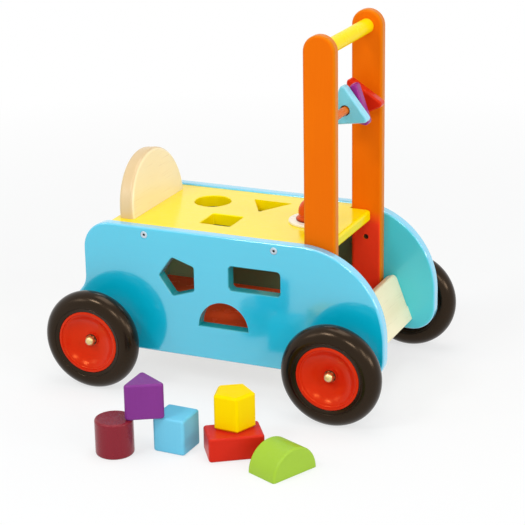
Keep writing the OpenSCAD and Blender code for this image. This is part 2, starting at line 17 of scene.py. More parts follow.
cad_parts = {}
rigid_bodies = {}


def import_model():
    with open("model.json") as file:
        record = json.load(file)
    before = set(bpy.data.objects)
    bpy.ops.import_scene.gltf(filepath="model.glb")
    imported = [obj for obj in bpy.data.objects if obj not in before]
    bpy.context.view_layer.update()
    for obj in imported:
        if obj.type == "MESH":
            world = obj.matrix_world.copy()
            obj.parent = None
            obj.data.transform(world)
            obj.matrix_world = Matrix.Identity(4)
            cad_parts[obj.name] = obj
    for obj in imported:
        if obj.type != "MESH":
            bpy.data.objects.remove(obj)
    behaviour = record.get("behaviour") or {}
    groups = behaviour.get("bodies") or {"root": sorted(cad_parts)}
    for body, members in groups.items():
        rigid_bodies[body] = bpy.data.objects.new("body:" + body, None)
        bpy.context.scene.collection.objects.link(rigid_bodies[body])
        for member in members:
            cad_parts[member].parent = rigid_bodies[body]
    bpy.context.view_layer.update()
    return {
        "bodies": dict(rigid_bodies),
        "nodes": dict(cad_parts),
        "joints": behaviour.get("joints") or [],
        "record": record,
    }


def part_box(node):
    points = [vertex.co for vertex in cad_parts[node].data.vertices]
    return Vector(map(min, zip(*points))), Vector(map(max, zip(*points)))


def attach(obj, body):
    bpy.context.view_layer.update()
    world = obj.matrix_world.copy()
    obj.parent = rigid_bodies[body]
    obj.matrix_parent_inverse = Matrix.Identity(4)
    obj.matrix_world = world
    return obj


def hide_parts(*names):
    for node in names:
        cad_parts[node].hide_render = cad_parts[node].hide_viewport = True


LOG = logging.getLogger("baby_walker")

Triple = tuple[float, float, float]
Tint = tuple[int, int, int]
Outline = list[tuple[float, float]]
Node = bpy.types.Node
Socket = bpy.types.NodeSocket
Sockets = bpy.types.NodeOutputs
Group = bpy.types.NodeTree
Mesh = bmesh.types.BMesh
Vert = bmesh.types.BMVert

NEARWARD = Vector((0, -1, 0))
FARWARD = Vector((0, 1, 0))


def paint(tint: object) -> object:
    """Shader colour of a tint.

    Args:
        tint: Red, green and blue in steps of 0 to 255, or a socket.

    Returns:
        The linear colour with its alpha, or the same socket.
    """
    def linear(step: int) -> float:
        """Linear value of one step."""
        value = step / 255
        return value / 12.92 if value <= 0.04045 else ((value + 0.055) / 1.055) ** 2.4

    return (*map(linear, tint), 1.0) if isinstance(tint, tuple) else tint


# ------------------------ shader trees


class Tree:
    """A node tree with short calls that place and join its nodes."""

    def __init__(self, tree: Group) -> None:
        """Wraps the tree of a material, a world or a node group."""
        self.tree = tree

    def add(self, kind: str, inputs: dict | None = None, **settings: object) -> Node:
        """Places one node.

        Args:
            kind: Type of the node.
            inputs: Value or socket for each input, by name or number.
            settings: Attributes of the node itself.

        Returns:
            The new node.
        """
        node = self.tree.nodes.new(kind)
        for name, value in settings.items():
            setattr(node, name, value)
        self.fill(node, inputs or {})
        return node

    def fill(self, node: Node, inputs: dict) -> None:
        """Joins sockets to the inputs of a node, or writes plain values on them.

        Args:
            node: The node.
            inputs: Value or socket for each input, by name or number.
        """
        for key, value in inputs.items():
            if isinstance(value, Socket):
                self.tree.links.new(value, node.inputs[key])
            else:
                node.inputs[key].default_value = value

    def sum(
        self, operation: str, first: object, second: object = 0.0, clamp: bool = False
    ) -> Socket:
        """Result of one arithmetic step.

        Args:
            operation: Blender's name of the step, such as MAXIMUM.
            first: First value or socket.
            second: Second value or socket.
            clamp: Whether the result is kept between 0 and 1.

        Returns:
            The output socket.
        """
        node = self.add(
            "ShaderNodeMath", {0: first, 1: second}, operation=operation, use_clamp=clamp
        )
        return node.outputs[0]

    def times(self, first: object, second: object, clamp: bool = False) -> Socket:
        """Product of two values."""
        return self.sum("MULTIPLY", first, second, clamp)

    def plus(self, first: object, second: object) -> Socket:
        """Sum of two values."""
        return self.sum("ADD", first, second)

    def less(self, first: object, second: object) -> Socket:
        """Difference of two values."""
        return self.sum("SUBTRACT", first, second)

    def vectors(self, operation: str, *values: object) -> Socket:
        """Result of one step on vectors.

        Args:
            operation: Blender's name of the step, such as DOT_PRODUCT.
            values: The vectors or sockets that it works on.

        Returns:
            The output socket: a value for a product or a length, and else a vector.
        """
        node = self.add("ShaderNodeVectorMath", dict(enumerate(values)), operation=operation)
        return node.outputs["Value" if operation in ("DOT_PRODUCT", "LENGTH") else "Vector"]

    def span(
        self, value: object, low: float, high: float, out_low: float = 0.0, out_high: float = 1.0
    ) -> Socket:
        """A value carried from one range to another, held at the ends.

        Args:
            value: Value or socket to carry over.
            low: Start of its own range.
            high: End of its own range.
            out_low: What the start becomes.
            out_high: What the end becomes.

        Returns:
            The output socket.
        """
        node = self.add(
            "ShaderNodeMapRange", {0: value, 1: low, 2: high, 3: out_low, 4: out_high}
        )
        return node.outputs[0]

    def blend(self, share: object, first: object, second: object) -> Socket:
        """A colour between two others.

        Args:
            share: How much of the second colour, from 0 to 1.
            first: First tint or socket.
            second: Second tint or socket.

        Returns:
            The output socket.
        """
        inputs = {0: share, 6: paint(first), 7: paint(second)}
        return self.add("ShaderNodeMix", inputs, data_type="RGBA").outputs[2]

    def noise(
        self, place: object, scale: float, detail: float = 2.0, rough: float = 0.5
    ) -> Socket:
        """Soft noise from 0 to 1.

        Args:
            place: Socket of the point to read it at.
            scale: Waves to a metre of that point.
            detail: How many finer layers it has.
            rough: How strong the finer layers are.

        Returns:
            The output socket of its value.
        """
        node = self.add(
            "ShaderNodeTexNoise",
            {"Vector": place, "Scale": scale, "Detail": detail, "Roughness": rough},
        )
        return node.outputs["Fac"]

    def effect(self, name: str, **inputs: object) -> Sockets:
        """Places one of the shared node groups.

        Args:
            name: Name of the group.
            inputs: Value or socket for each of its inputs, by name.

        Returns:
            The outputs of its node.
        """
        group = bpy.data.node_groups[name]
        return self.add("ShaderNodeGroup", inputs, node_tree=group).outputs

    def point(self) -> Socket:
        """Where the skin is, in the frame of its own piece."""
        return self.add("ShaderNodeTexCoord").outputs["Object"]

    def normal(self) -> Socket:
        """Way that the skin faces."""
        return self.add("ShaderNodeNewGeometry").outputs["Normal"]


def cleared_tree(owner: bpy.types.Material | bpy.types.World) -> Tree:
    """Empties the node tree of a material or a world.

    Args:
        owner: The material or the world.

    Returns:
        Its tree.
    """
    owner.use_nodes = True
    owner.node_tree.nodes.clear()
    return Tree(owner.node_tree)


class Effects:
    """Shader node groups that more than one finish uses, each built once."""

    def build(self) -> None:
        """Builds every group."""
        self._eased_edge()
        self._lacquer_film()
        self._wood_grain()
        self._handling()
        self._moulded_skin()
        self._turned_away()
        self._box_zone()
        self._facing()

    @staticmethod
    def _open(name: str, **inputs: float | Triple) -> tuple[Tree, Sockets]:
        """Starts a group.

        Args:
            name: Name of the group.
            inputs: Starting value of each input, which also says its type.

        Returns:
            The group's tree, and the sockets of its inputs.
        """
        group = bpy.data.node_groups.new(name, "ShaderNodeTree")
        for label, value in inputs.items():
            kind = "NodeSocketVector" if isinstance(value, tuple) else "NodeSocketFloat"
            socket = group.interface.new_socket(label, in_out="INPUT", socket_type=kind)
            socket.default_value = value
        tree = Tree(group)
        return tree, tree.add("NodeGroupInput").outputs

    @staticmethod
    def _close(tree: Tree, **outputs: Socket) -> None:
        """Ends a group.

        Args:
            tree: The group's tree.
            outputs: Socket for each output, all of them values but the one called Normal.
        """
        for label in outputs:
            kind = "NodeSocketVector" if label == "Normal" else "NodeSocketFloat"
            tree.tree.interface.new_socket(label, in_out="OUTPUT", socket_type=kind)
        tree.add("NodeGroupOutput", outputs)

    def _eased_edge(self) -> None:
        """Normal that rounds sharp edges, and a mask of where they are."""
        tree, given = self._open("eased_edge", Width=0.001, Reach=6.0)
        rounded = tree.add("ShaderNodeBevel", {"Radius": given["Width"]}, samples=6).outputs[0]
        turned = tree.less(1.0, tree.vectors("DOT_PRODUCT", rounded, tree.normal()))
        self._close(tree, Normal=rounded, Edge=tree.times(turned, given["Reach"], clamp=True))

    def _lacquer_film(self) -> None:
        """Sprayed lacquer on planed wood: ripple, fibres that show through, slow drifts."""
        tree, given = self._open(
            "lacquer_film", Along=Grain.ALONG_X.value, Ripple=1.0, Fibre=1.0
        )
        place = tree.point()
        drawn = tree.vectors("MULTIPLY", place, given["Along"])
        ripple = tree.noise(place, scale=260.0, rough=0.45)
        fibre = tree.noise(drawn, scale=620.0, detail=3.0, rough=0.6)
        streaks = tree.times(tree.plus(fibre, tree.noise(drawn, scale=70.0)), 0.25)
        drift = tree.times(tree.noise(place, scale=9.0), 0.5)
        gloss = tree.noise(place, scale=42.0, detail=3.0, rough=0.6)
        raised = tree.times(ripple, given["Ripple"]), tree.times(fibre, given["Fibre"])
        self._close(
            tree,
            Height=tree.plus(*raised),
            Tone=tree.span(tree.plus(drift, streaks), low=0.32, high=0.68),
            Gloss=tree.span(gloss, low=0.3, high=0.7),
        )

    def _wood_grain(self) -> None:
        """Pale wood: growth rings drawn out along one way, short pores and fine fibres."""
        tree, given = self._open(
            "wood_grain", Along=Grain.ALONG_X.value, Rings=34.0, Pores=1.0
        )
        drawn = tree.vectors("MULTIPLY", tree.point(), given["Along"])
        rings = tree.sum("SINE", tree.times(tree.noise(drawn, scale=11.0), given["Rings"]))
        rings = tree.span(rings, low=-1.0, high=1.0, out_high=0.7)
        fibres = tree.noise(drawn, scale=900.0, rough=0.6)
        pores = tree.span(tree.noise(drawn, scale=420.0, rough=0.7), low=0.60, high=0.72)
        pores = tree.times(pores, given["Pores"], clamp=True)
        self._close(
            tree,
            Figure=tree.plus(rings, tree.times(fibres, 0.3)),
            Pore=pores,
            Height=tree.less(tree.times(fibres, 0.5), pores),
        )

    def _handling(self) -> None:
        """Marks of handling: hair-fine scuffs in two ways, and dust on what faces up."""
        tree, given = self._open("handling", Scuffs=0.4, Dust=0.2)
        place = tree.point()
        both = []
        for turn in ((0.4, 0.9, 0.3), (-0.7, 0.2, 1.1)):
            laid = tree.add(
                "ShaderNodeMapping",
                {"Vector": place, "Rotation": turn, "Scale": (1.0, 0.03, 0.6)},
            )
            hairs = tree.noise(laid.outputs[0], scale=700.0, detail=1.0, rough=0.4)
            both.append(tree.span(hairs, low=0.70, high=0.78))
        patches = tree.span(tree.noise(place, scale=14.0), low=0.48, high=0.68)
        hair = tree.times(tree.sum("MAXIMUM", *both), patches)
        up = tree.add("ShaderNodeSeparateXYZ", {0: tree.normal()}).outputs["Z"]
        specks = tree.noise(place, scale=160.0, detail=3.0, rough=0.7)
        specks = tree.span(specks, low=0.5, high=0.75)
        settled = tree.times(tree.span(up, low=0.5, high=1.0), specks)
        self._close(
            tree,
            Scuff=tree.times(hair, given["Scuffs"], clamp=True),
            Dusty=tree.times(settled, given["Dust"], clamp=True),
        )

    def _moulded_skin(self) -> None:
        """Skin of a moulded part: fine grain, shallow sink marks, and drifts of its flow."""
        tree, given = self._open("moulded_skin", Grain=1.0, Sink=1.0)
        place = tree.point()
        grain = tree.noise(place, scale=1500.0, rough=0.6)
        sink = tree.noise(place, scale=45.0, detail=1.0, rough=0.4)
        flow = tree.noise(place, scale=22.0, detail=3.0, rough=0.55)
        height = tree.plus(tree.times(grain, given["Grain"]), tree.times(sink, given["Sink"]))
        self._close(tree, Height=height, Tone=tree.span(flow, low=0.3, high=0.7))

    def _turned_away(self) -> None:
        """Mask of the rims of a board, where its skin turns away from its broad faces."""
        tree, given = self._open("turned_away", Flat=(0.0, 1.0, 0.0), Start=0.97)
        facing = tree.vectors("DOT_PRODUCT", tree.normal(), given["Flat"])
        fallen = tree.less(given["Start"], tree.sum("ABSOLUTE", facing))
        self._close(tree, Rim=tree.times(fallen, 3.0, clamp=True))

    def _box_zone(self) -> None:
        """Mask of what lies inside a box of the shared frame, fading at its walls."""
        tree, given = self._open(
            "box_zone", Low=(0.0, 0.0, 0.0), High=(1.0, 1.0, 1.0), Fade=200.0
        )
        place = tree.point()
        inside = None
        for first, second in ((place, given["Low"]), (given["High"], place)):
            apart = tree.vectors("SUBTRACT", first, second)
            for part in tree.add("ShaderNodeSeparateXYZ", {0: apart}).outputs:
                share = tree.times(part, given["Fade"], clamp=True)
                inside = share if inside is None else tree.sum("MINIMUM", inside, share)
        self._close(tree, Inside=inside)

    def _facing(self) -> None:
        """Mask of the skin that faces one way."""
        tree, given = self._open("facing", Way=(0.0, 0.0, 1.0))
        turned = tree.vectors("DOT_PRODUCT", tree.normal(), given["Way"])
        self._close(tree, Share=tree.span(turned, low=0.5, high=0.8))


# ------------------------ finishes


class Grain(Enum):
    """Way in which the wood under a finish runs, as the stretch of its pattern."""

    ALONG_X = (0.045, 1.0, 1.0)
    ALONG_Y = (1.0, 0.045, 1.0)
    ALONG_Z = (1.0, 1.0, 0.045)


class Faces(Enum):
    """Faces of a board that a zone reaches."""

    ALL = "all"
    BROAD = "broad"
    RIMS = "rims"


@dataclass(frozen=True)
class Zone:
    """A stretch of a piece with a tint of its own, as a box of the shared frame in metres; most
    zones are painted shade or painted light.
    """

    colour: Tint
    share: float = 1.0
    faces: Faces = Faces.ALL
    dull: float = 0.0
    low: Triple = (-0.3, -0.3, -0.1)
    high: Triple = (0.3, 0.3, 0.3)
    fade: float = 200.0
    toward: Triple | None = None

    def mask(self, tree: Tree, away: Socket) -> Socket:
        """How much of the zone a point of the skin is in.

        Args:
            tree: Tree of the material.
            away: Mask of the rims.

        Returns:
            The mask.
        """
        box = tree.effect("box_zone", Low=self.low, High=self.high, Fade=self.fade)
        inside = box["Inside"]
        if self.faces is Faces.BROAD:
            inside = tree.times(inside, tree.less(1.0, away))
        elif self.faces is Faces.RIMS:
            inside = tree.times(inside, away)
        if self.toward is not None:
            turned = tree.effect("facing", Way=self.toward)
            inside = tree.times(inside, turned["Share"])
        return inside


@dataclass(frozen=True)
class Finish:
    """What every finish has. Its own kind says how its colour and its relief come about."""

    name: str
    colour: Tint
    drift: Tint
    _: KW_ONLY
    roughness: float = 0.24
    smoother: float = 0.04
    rougher: float = 0.05
    scuff_dulls: float = 0.0
    specular: float = 0.5
    metallic: float = 0.0
    sheen: Triple = (1.0, 1.0, 1.0)
    depth: float = 0.00003
    easing: float = 0.0008
    reach: float = 5.0
    scuffs: float = 0.3
    scuff_tint: Tint | None = None
    scuff_share: float = 0.04
    dust: float = 0.03
    dust_tint: Tint | None = (246, 243, 236)

    def material(self) -> bpy.types.Material:
        """Builds the finish.

        Returns:
            The material.
        """
        material = bpy.data.materials.new(self.name)
        tree = cleared_tree(material)
        shader = tree.add("ShaderNodeBsdfPrincipled")
        tree.add("ShaderNodeOutputMaterial", {"Surface": shader.outputs[0]})
        edge = tree.effect("eased_edge", Width=self.easing, Reach=self.reach)
        marks = tree.effect("handling", Scuffs=self.scuffs, Dust=self.dust)
        body, spread, height = self.skin(tree, shader, edge["Edge"])
        if self.scuff_tint is not None:
            scuffed = tree.times(marks["Scuff"], self.scuff_share)
            body = tree.blend(scuffed, body, self.scuff_tint)
        if self.dust_tint is not None:
            body = tree.blend(marks["Dusty"], body, self.dust_tint)
        low, high = self.roughness - self.smoother, self.roughness + self.rougher
        rough = tree.span(spread, 0.0, 1.0, low, high)
        if self.scuff_dulls:
            rough = tree.plus(rough, tree.times(marks["Scuff"], self.scuff_dulls))
        bump = tree.add(
            "ShaderNodeBump",
            {"Strength": 1.0, "Distance": self.depth, "Height": height, "Normal": edge["Normal"]},
        )
        tree.fill(shader, {
            "Base Color": body,
            "Roughness": rough,
            "Normal": bump.outputs[0],
            "Metallic": self.metallic,
            "Specular IOR Level": self.specular,
            "Specular Tint": (*self.sheen, 1.0),
        })
        return material

    def skin(self, tree: Tree, shader: Node, thin_and_highlit_edges: Socket) -> tuple[Socket, Socket, Socket]:
        """Makes what sets this kind of finish apart.

        Args:
            tree: Tree of the material.
            shader: Its surface shader.
            thin_and_highlit_edges: Mask of the edges.

        Returns:
            The colour, what spreads the roughness, and the height of the relief.
        """
        raise NotImplementedError


@dataclass(frozen=True)
class Lacquer(Finish):
    """Opaque satin lacquer on planed wood, thinner and paler at its edges (partly a painted
    highlight), with a clear coat.
    """

    bared: Tint
    grain: Grain = Grain.ALONG_X
    _: KW_ONLY
    scuffs: float = 0.1
    scuff_dulls: float = 0.1
    ripple: float = 0.5
    fibre: float = 0.5
    thinned: float = 0.7
    coat: float = 0.0
    coat_ior: float = 1.5
    coat_roughness: float = 0.1
    flat: Triple = (0.0, 1.0, 0.0)
    rim_start: float = 0.97
    rim: Tint | None = None
    rim_share: float = 0.8
    zones: tuple[Zone, ...] = ()

    def skin(self, tree: Tree, shader: Node, thin_and_highlit_edges: Socket) -> tuple[Socket, Socket, Socket]:
        """Lays the film and the zones over the wood.

        Args:
            tree: Tree of the material.
            shader: Its surface shader.
            thin_and_highlit_edges: Mask of the edges.

        Returns:
            The colour, what spreads the roughness, and the height of the relief.
        """
        film = tree.effect(
            "lacquer_film", Along=self.grain.value, Ripple=self.ripple, Fibre=self.fibre
        )
        away = tree.effect("turned_away", Flat=self.flat, Start=self.rim_start)["Rim"]
        body, height = self.wood(tree, film, thin_and_highlit_edges, away)
        gloss: object = self.coat
        # each zone lays its tint and may take away the coat; most zones are painted shade or
        # painted light
        for zone in self.zones:
            mask = zone.mask(tree, away)
            body = tree.blend(tree.times(mask, zone.share), body, zone.colour)
            if zone.dull:
                gloss = tree.times(gloss, tree.less(1.0, tree.times(mask, zone.dull)))
        tree.fill(shader, {
            "Coat Weight": gloss,
            "Coat IOR": self.coat_ior,
            "Coat Roughness": self.coat_roughness,
        })
        return body, film["Gloss"], height

    def wood(self, tree: Tree, film: Sockets, thin_and_highlit_edges: Socket, away: Socket) -> tuple[Socket, Socket]:
        """Makes the wood as it shows through the film.

        Args:
            tree: Tree of the material.
            film: Outputs of the film.
            thin_and_highlit_edges: Mask of the edges.
            away: Mask of the rims.

        Returns:
            The colour and the height of the relief.
        """
        body = tree.blend(film["Tone"], self.drift, self.colour)
        # paler at the eased edges: the lacquer is thinner there, and in part this is a painted
        # highlight
        body = tree.blend(tree.times(thin_and_highlit_edges, self.thinned), body, self.bared)
        # the rims take a tint of their own: a painted highlight on the sky-blue panels and the
        # blue triangle, painted shade on the uprights' side faces
        if self.rim is not None:
            body = tree.blend(tree.times(away, self.rim_share), body, self.rim)
        return body, film["Height"]


@dataclass(frozen=True)
class ClearWood(Lacquer):
    """Pale wood under a clear satin varnish."""

    grain: Grain = Grain.ALONG_Y
    _: KW_ONLY
    roughness: float = 0.36
    rougher: float = 0.06
    scuffs: float = 0.3
    scuff_dulls: float = 0.0
    depth: float = 0.00005
    dust: float = 0.05
    ripple: float = 0.3
    fibre: float = 0.7
    coat: float = 0.2
    coat_roughness: float = 0.15
    flat: Triple = (1.0, 0.0, 0.0)
    rim_start: float = 0.85
    rings: float = 34.0
    pores: float = 0.6
    pore_share: float = 0.35
    end_grain: float = 0.1

    def wood(self, tree: Tree, film: Sockets, thin_and_highlit_edges: Socket, away: Socket) -> tuple[Socket, Socket]:
        """Makes rings, pores and end grain.

        Args:
            tree: Tree of the material.
            film: Outputs of the film.
            thin_and_highlit_edges: Mask of the edges.
            away: Mask of the rims.

        Returns:
            The colour and the height of the relief.
        """
        wood = tree.effect(
            "wood_grain", Along=self.grain.value, Rings=self.rings, Pores=self.pores
        )
        body = tree.blend(wood["Figure"], self.drift, self.colour)
        body = tree.blend(tree.times(wood["Pore"], self.pore_share), body, self.bared)
        body = tree.blend(tree.times(away, self.end_grain), body, self.bared)
        return body, tree.plus(wood["Height"], film["Height"])


@dataclass(frozen=True)
class Plastic(Finish):
    """Glossy moulded plastic, whose colour drifts by a share of its skin's pattern."""

    _: KW_ONLY
    roughness: float = 0.17
    smoother: float = 0.0
    scuff_dulls: float = 0.25
    depth: float = 0.00006
    easing: float = 0.0006
    reach: float = 4.0
    dust_tint: Tint | None = None
    share: float = 1.0
    grain: float = 0.08
    sink: float = 1.0

    def skin(self, tree: Tree, shader: Node, thin_and_highlit_edges: Socket) -> tuple[Socket, Socket, Socket]:
        """Makes the drifting colour and the mould's skin.

        Args:
            tree: Tree of the material.
            shader: Its surface shader.
            thin_and_highlit_edges: Mask of the edges.

        Returns:
            The colour, what spreads the roughness, and the height of the relief.
        """
        skin = tree.effect("moulded_skin", Grain=self.grain, Sink=self.sink)
        body = tree.blend(tree.times(skin["Tone"], self.share), self.colour, self.drift)
        return body, skin["Tone"], skin["Height"]


@dataclass(frozen=True)
class Rubber(Plastic):
    """Smooth black rubber with a fine skin and a little dust."""

    _: KW_ONLY
    roughness: float = 0.21
    smoother: float = 0.04
    scuff_dulls: float = 0.0
    specular: float = 0.36
    depth: float = 0.00008
    scuffs: float = 0.4
    scuff_tint: Tint | None = (110, 102, 94)
    dust: float = 0.02
    dust_tint: Tint | None = (140, 132, 122)
    share: float = 0.6
    grain: float = 0.25
    sink: float = 0.4


@dataclass(frozen=True)
class Metal(Plastic):
    """Plated or browned steel with fine tool marks."""

    _: KW_ONLY
    roughness: float = 0.28
    rougher: float = 0.14
    scuff_dulls: float = 0.2
    metallic: float = 1.0
    depth: float = 0.00003
    easing: float = 0.0003
    reach: float = 5.0
    scuffs: float = 0.8
    share: float = 0.5
    grain: float = 0.8
    sink: float = 0.3


class Paintbox:
    """Every finish of the walker, made once and handed out by name."""

    WARM_SHEEN = (1.0, 0.30, 0.08)
    GOLDEN_SHEEN = (1.0, 0.80, 0.12)
    # sideways reach of what lies inside the panels, short of their rounded outer edges
    INSIDE = 0.0945
    # where a panel's own stretch starts sideways, a little within its inner face
    CHEEK = 0.08
    # heights that hold the whole seat board between them
    UNDER_SEAT, OVER_SEAT = 0.15, 0.24

    # painted shade: olive-dark, unglossed skin in the space between the boards, where little light
    # comes in
    PAINTED_SHADE_BOX = Zone(
        (98, 134, 100), dull=1.0, low=(-0.158, -INSIDE, 0.06), high=(0.115, INSIDE, 0.195)
    )
    # painted shade, a paler olive: the same space low down, where the leaning board leaves it
    # longer
    PAINTED_SHADE_BOX_FOOT = Zone(
        (170, 224, 184), dull=1.0, low=(-0.173, -INSIDE, 0.06), high=(-0.104, INSIDE, 0.125)
    )
    # painted shade: olive-dark, unglossed inner face of the rear board inside the box
    PAINTED_SHADE_REAR = Zone((118, 146, 110), dull=1.0, toward=(1.0, 0.0, 0.0))
    # painted shade: dark teal, unglossed walls of the openings in the near side
    PAINTED_SHADE_MOUTHS = Zone(
        (16, 158, 168), 1.0, Faces.RIMS, 1.0, (-0.14, -0.12, 0.06), (0.11, -CHEEK, 0.19)
    )
    # painted shade: darker, less glossy teal on the panels' inner faces at the front opening
    PAINTED_SHADE_FAR_CHEEK = Zone(
        (78, 210, 222), 0.9, Faces.BROAD, 0.85, (0.115, CHEEK, 0.02), (0.26, INSIDE, 0.26)
    )
    PAINTED_SHADE_NEAR_CHEEK = Zone(
        (74, 200, 208), 0.9, Faces.BROAD, 0.85, (0.115, -INSIDE, 0.02), (0.26, -CHEEK, 0.26)
    )
    # painted light: brighter, unglossed yellow on the walls of the seat's openings, which lie in
    # shade
    PAINTED_LIGHT_SEAT_MOUTHS = Zone(
        (255, 234, 0), 1.0, Faces.RIMS, 1.0,
        (-0.16, -CHEEK, UNDER_SEAT), (0.10, CHEEK, OVER_SEAT),
    )
    TONGUE = Zone(
        (255, 232, 0), 0.9, dull=1.0,
        low=(0.09, -CHEEK, UNDER_SEAT), high=(0.15, CHEEK, OVER_SEAT),
    )
    # painted shade with a painted red bounce light: the uprights' broad faces turn red below the
    # seat
    PAINTED_SHADE_UPRIGHT_FOOT = Zone(
        (255, 66, 36), faces=Faces.BROAD, high=(0.3, 0.3, 0.206), fade=55.0
    )
    # painted shade: dark red-brown on the knob's lower part, under its dome
    PAINTED_SHADE_KNOB_COLLAR = Zone((124, 34, 16), 0.9, high=(0.3, 0.3, 0.2150), fade=500.0)
    BARE_UNDERSIDE = Zone((206, 190, 156), toward=(0.0, 0.0, -1.0))

    # the panels' rims take a paler blue: painted highlight on their edge faces
    SKY = Lacquer(
        "sky_lacquer", (4, 194, 226), (2, 189, 222), (110, 212, 236),
        roughness=0.2, coat=1.0, coat_ior=1.95, coat_roughness=0.08,
        rim=(112, 206, 240), zones=(PAINTED_SHADE_BOX, PAINTED_SHADE_BOX_FOOT, PAINTED_SHADE_MOUTHS, PAINTED_SHADE_FAR_CHEEK, PAINTED_SHADE_NEAR_CHEEK),
    )
    YELLOW = Lacquer(
        "yellow_lacquer", (254, 228, 4), (252, 223, 2), (255, 236, 60),
        roughness=0.18, specular=0.35, coat=0.35, flat=(0.0, 0.0, 1.0),
        rim=(255, 226, 0), rim_share=1.0, sheen=GOLDEN_SHEEN, zones=(PAINTED_LIGHT_SEAT_MOUTHS, TONGUE),
    )
    YELLOW_CROSS = Lacquer(
        "yellow_lacquer_rod", (252, 224, 8), (250, 219, 5), (255, 232, 60),
        Grain.ALONG_Y, specular=0.08, sheen=GOLDEN_SHEEN,
    )
    # its rims take a darker, more golden orange: painted shade on the uprights' side faces
    ORANGE = Lacquer(
        "orange_lacquer", (231, 111, 5), (226, 104, 4), (226, 126, 16),
        Grain.ALONG_Z, roughness=0.36, specular=0.25, sheen=WARM_SHEEN,
        rim=(216, 124, 6), zones=(PAINTED_SHADE_UPRIGHT_FOOT,),
    )
    ORANGE_ROD = Lacquer(
        "orange_lacquer_rod", (236, 116, 8), (230, 108, 6), (246, 146, 40),
        Grain.ALONG_Y, specular=0.4, sheen=WARM_SHEEN,
    )
    FLOOR_RED = Lacquer(
        "floor_red_lacquer", (255, 94, 42), (252, 86, 38), (255, 110, 60),
        specular=0.3, sheen=WARM_SHEEN, zones=(BARE_UNDERSIDE,),
    )
    TURNING_RED = Lacquer(
        "red_lacquer", (216, 44, 18), (208, 36, 14), (228, 80, 44),
        specular=0.4, sheen=WARM_SHEEN,
    )
    # its rims take a paler blue: painted highlight on the triangle's edge faces
    TURNING_BLUE = Lacquer(
        "blue_lacquer", (112, 208, 226), (104, 202, 222), (176, 228, 244),
        coat=0.3, rim=(150, 220, 244),
    )
    TURNING_PURPLE = Lacquer(
        "purple_lacquer", (152, 46, 134), (142, 40, 126), (182, 92, 166),
        specular=0.4, sheen=(1.0, 0.35, 0.7),
    )
    BLOCK_MAROON = Lacquer(
        "maroon_block", (130, 30, 44), (122, 26, 40), (156, 72, 84),
        Grain.ALONG_Z, roughness=0.26, sheen=(1.0, 0.45, 0.45),
    )
    BLOCK_PURPLE = Lacquer(
        "purple_block", (126, 48, 134), (118, 42, 126), (156, 92, 168),
        Grain.ALONG_Z, roughness=0.38, specular=0.35, sheen=(1.0, 0.55, 1.0),
    )
    BLOCK_BLUE = Lacquer(
        "blue_block", (112, 200, 230), (104, 195, 226), (150, 216, 238),
        Grain.ALONG_Z, roughness=0.38, specular=0.35,
    )
    BLOCK_YELLOW = Lacquer(
        "yellow_block", (250, 216, 0), (246, 210, 0), (255, 230, 30),
        Grain.ALONG_Z, roughness=0.38, specular=0.06, sheen=GOLDEN_SHEEN,
    )
    BLOCK_RED = Lacquer(
        "red_block", (208, 38, 22), (200, 32, 18), (224, 80, 56),
        roughness=0.38, specular=0.35, sheen=(1.0, 0.4, 0.25),
    )
    BLOCK_GREEN = Lacquer(
        "green_block", (160, 197, 52), (152, 190, 46), (184, 212, 98),
        roughness=0.38, specular=0.3,
    )
    CREAM = Lacquer(
        "cream_lacquer", (248, 243, 222), (242, 236, 212), (252, 249, 236),
        coat=0.2,
    )
    BACKREST = ClearWood(
        "backrest_wood", (255, 246, 208), (253, 236, 188), (206, 170, 116),
        end_grain=0.75,
    )
    BOARD_WOOD = ClearWood(
        "board_wood", (251, 240, 202), (243, 229, 186), (190, 162, 112)
    )
    REAR_WOOD = ClearWood(
        "rear_board_wood", (246, 240, 202), (238, 229, 186), (190, 162, 112),
        zones=(PAINTED_SHADE_REAR,),
    )
    KNOB = Lacquer(
        "knob_lacquer", (222, 82, 10), (214, 74, 8), (228, 92, 16),
        specular=0.2, sheen=WARM_SHEEN, zones=(PAINTED_SHADE_KNOB_COLLAR,),
    )
    HUB = Plastic("hub_plastic", (202, 34, 10), (214, 44, 16), sheen=WARM_SHEEN)
    TYRE = Rubber("tyre_rubber", (12, 7, 4), (20, 12, 7), sheen=(1.0, 0.70, 0.46))
    ZINC = Metal("zinc_steel", (206, 220, 230), (178, 194, 204))
    BRASSED = Metal("brassed_steel", (232, 212, 150), (204, 178, 112), roughness=0.32)
    BROWNED = Metal("browned_steel", (92, 70, 56), (60, 44, 34), roughness=0.4)
    SOCKET = Metal("screw_socket", (58, 50, 44), (36, 30, 26), roughness=0.5)

    def __init__(self) -> None:
        """Builds the shared node groups, and starts with no finish made."""
        Effects().build()
        self.made: dict[str, bpy.types.Material] = {}

    def get(self, finish: Finish) -> bpy.types.Material:
        """Finds the material of a finish, which is made at its first use.

        Args:
            finish: One of the finishes above.

        Returns:
            Its material.
        """
        if finish.name not in self.made:
            self.made[finish.name] = finish.material()
        return self.made[finish.name]


# ------------------------ workshop


def linked(name: str, data: object) -> bpy.types.Object:
    """Adds an object to the scene.

    Args:
        name: Its name.
        data: Its mesh, lamp or camera.

    Returns:
        The object.
    """
    thing = bpy.data.objects.new(name, data)
    bpy.context.scene.collection.objects.link(thing)
    return thing


def meshed(name: str, mesh: Mesh) -> bpy.types.Object:
    """A new object made of a finished mesh.

    Args:
        name: Name of the object and of its mesh.
        mesh: The mesh, in the shared frame. It is used up.

    Returns:
        The object.
    """
    data = bpy.data.meshes.new(name)
    mesh.to_mesh(data)
    mesh.free()
    return linked(name, data)


